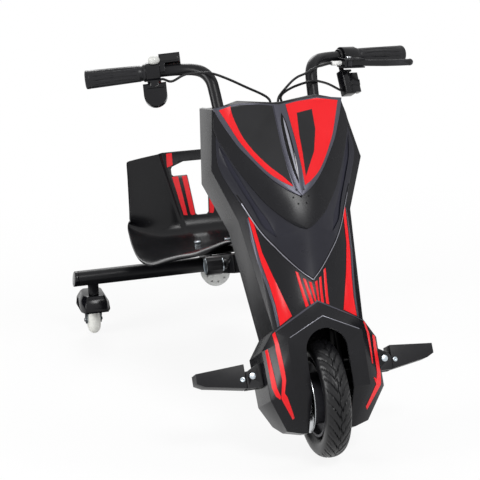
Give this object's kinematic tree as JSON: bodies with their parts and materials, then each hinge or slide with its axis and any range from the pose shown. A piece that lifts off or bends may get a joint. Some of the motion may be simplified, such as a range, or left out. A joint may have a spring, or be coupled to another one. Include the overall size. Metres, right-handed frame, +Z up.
{
  "type": "drift trike",
  "caption": "Electric drift trike with a tall front shield, front wheel drive, swivel rear casters and a bucket seat.",
  "frame": {"origin": "centre of the overall box, at the floor under the wheels", "axes": "+Y from the front wheel to the rear casters, +Z up, +X to the rider's left"},
  "size_m": [0.6486, 1.0112, 0.6865],
  "materials": {
    "gloss_black_shell": "injection-moulded ABS, high gloss black with moulded panel colours",
    "satin_black_cover": "moulded ABS, fine satin grain",
    "black_lever": "cast lever, semi-gloss black paint",
    "peg_plastic": "glass-filled nylon, moulded, satin black",
    "frame_paint": "welded steel tube, semi-gloss black powder coat",
    "seat_plastic": "blow-moulded polyethylene, fine grain, black",
    "grip_rubber": "moulded rubber, ribbed, matt",
    "cable_jacket": "extruded PVC jacket, satin black",
    "tyre_rubber": "moulded pneumatic tyre tread, matt",
    "cast_alloy": "die-cast aluminium, black wash",
    "zinc_plate": "pressed steel, bright zinc plating",
    "bright_steel": "turned steel, bright",
    "white_adjuster": "moulded nylon, white",
    "caster_tread": "moulded polyurethane wheel, off-white",
    "horn_shell": "pressed steel horn, pale grey paint",
    "battery_wrap": "heat-shrink wrapped cell pack"
  },
  "bodies": {
    "rear_frame": {"rear_tube": "frame_paint", "cross_tube": "frame_paint", "end_cap_right": "satin_black_cover", "end_cap_left": "satin_black_cover", "seat_bracket": "frame_paint", "seat_shell": "seat_plastic", "seat_bolt_right": "zinc_plate", "seat_bolt_left": "zinc_plate", "horn": "horn_shell"},
    "knob": {"clamp_knob": "satin_black_cover"},
    "front_frame": {"front_beam": "frame_paint", "headset_upper": "zinc_plate", "headset_lower": "zinc_plate"},
    "front_module": {"fork": "frame_paint", "front_shield": "gloss_black_shell", "rear_cover_lower": "satin_black_cover", "rear_cover_upper": "satin_black_cover", "top_cover": "satin_black_cover", "battery": "battery_wrap", "controller": "cast_alloy", "front_axle": "bright_steel", "axle_nut_right": "bright_steel", "axle_nut_left": "bright_steel", "brake_caliper": "cast_alloy", "handlebar": "frame_paint", "bar_clamp": "cast_alloy", "grip_right": "grip_rubber", "grip_left": "grip_rubber", "throttle_clamp": "satin_black_cover", "display_unit": "satin_black_cover", "brake_bracket": "satin_black_cover", "lever_pivot": "bright_steel", "barrel_adjuster": "white_adjuster", "pod_body": "satin_black_cover", "throttle_cable": "cable_jacket", "brake_cable": "cable_jacket", "pod_cable": "cable_jacket", "peg_clevis_right": "peg_plastic", "peg_clevis_left": "peg_plastic", "peg_bolt_right": "zinc_plate", "peg_bolt_left": "zinc_plate"},
    "front_wheel": {"tyre": "tyre_rubber", "hub_motor": "cast_alloy", "brake_rotor": "bright_steel"},
    "thumb_paddle": {"throttle_paddle": "satin_black_cover"},
    "hand_lever": {"brake_lever": "black_lever"},
    "pod_switch": {"pod_plate": "satin_black_cover"},
    "foot_peg_right": {"peg_right": "peg_plastic"},
    "foot_peg_left": {"peg_left": "peg_plastic"},
    "caster_yoke_right": {"caster_fork_right": "zinc_plate", "caster_hood_right": "satin_black_cover", "caster_axle_right": "bright_steel"},
    "caster_yoke_left": {"caster_fork_left": "zinc_plate", "caster_hood_left": "satin_black_cover", "caster_axle_left": "bright_steel"},
    "caster_roller_right": {"caster_wheel_right": "caster_tread"},
    "caster_roller_left": {"caster_wheel_left": "caster_tread"}
  },
  "joints": [
    {"name": "knob_turn", "type": "hinge", "parent": "rear_frame", "child": "knob", "pos_m": [-0.03, 0.16305, 0.20029], "axis": [-1, 0, 0], "range_deg": [0, 360]},
    {"name": "beam_slide", "type": "slide", "parent": "rear_frame", "child": "front_frame", "axis": [0, -0.9608, 0.2771], "range_m": [-0.06, 0.06]},
    {"name": "steering", "type": "hinge", "parent": "front_frame", "child": "front_module", "pos_m": [0, -0.27801, 0.3275], "axis": [0, 0.4787, 0.878], "range_deg": [-40, 40]},
    {"name": "front_wheel_spin", "type": "hinge", "parent": "front_module", "child": "front_wheel", "pos_m": [0, -0.39769, 0.108], "axis": [1, 0, 0], "continuous": true},
    {"name": "throttle_press", "type": "hinge", "parent": "front_module", "child": "thumb_paddle", "pos_m": [-0.19597, -0.02339, 0.62397], "axis": [-0.9684, 0.2375, -0.0763], "range_deg": [0, 25], "stiffness_Nm_per_rad": 0.3, "springref_deg": -17.19},
    {"name": "brake_squeeze", "type": "hinge", "parent": "front_module", "child": "hand_lever", "pos_m": [0.18475, -0.04314, 0.64288], "axis": [0.0741, 0.0182, 0.9971], "range_deg": [0, 10], "stiffness_Nm_per_rad": 1.5, "springref_deg": -8.59},
    {"name": "pod_press", "type": "hinge", "parent": "front_module", "child": "pod_switch", "pos_m": [0.18771, -0.0374, 0.60265], "axis": [0.0452, -0.4681, -0.8825], "range_deg": [0, 20], "stiffness_Nm_per_rad": 0.15, "springref_deg": -17.19},
    {"name": "peg_fold_right", "type": "hinge", "parent": "front_module", "child": "foot_peg_right", "pos_m": [-0.124, -0.37279, 0.15366], "axis": [0, 0.878, -0.4787], "range_deg": [0, 60]},
    {"name": "peg_fold_left", "type": "hinge", "parent": "front_module", "child": "foot_peg_left", "pos_m": [0.124, -0.37279, 0.15366], "axis": [0, -0.878, 0.4787], "range_deg": [0, 60]},
    {"name": "caster_swivel_right", "type": "hinge", "parent": "rear_frame", "child": "caster_yoke_right", "pos_m": [-0.274, 0.37732, 0.11], "axis": [0, 0, 1], "continuous": true},
    {"name": "caster_swivel_left", "type": "hinge", "parent": "rear_frame", "child": "caster_yoke_left", "pos_m": [0.274, 0.37732, 0.11], "axis": [0, 0, 1], "continuous": true},
    {"name": "caster_roll_right", "type": "hinge", "parent": "caster_yoke_right", "child": "caster_roller_right", "pos_m": [-0.274, 0.40431, 0.032], "axis": [1, 0, 0], "continuous": true},
    {"name": "caster_roll_left", "type": "hinge", "parent": "caster_yoke_left", "child": "caster_roller_left", "pos_m": [0.274, 0.40431, 0.032], "axis": [1, 0, 0], "continuous": true}
  ]
}
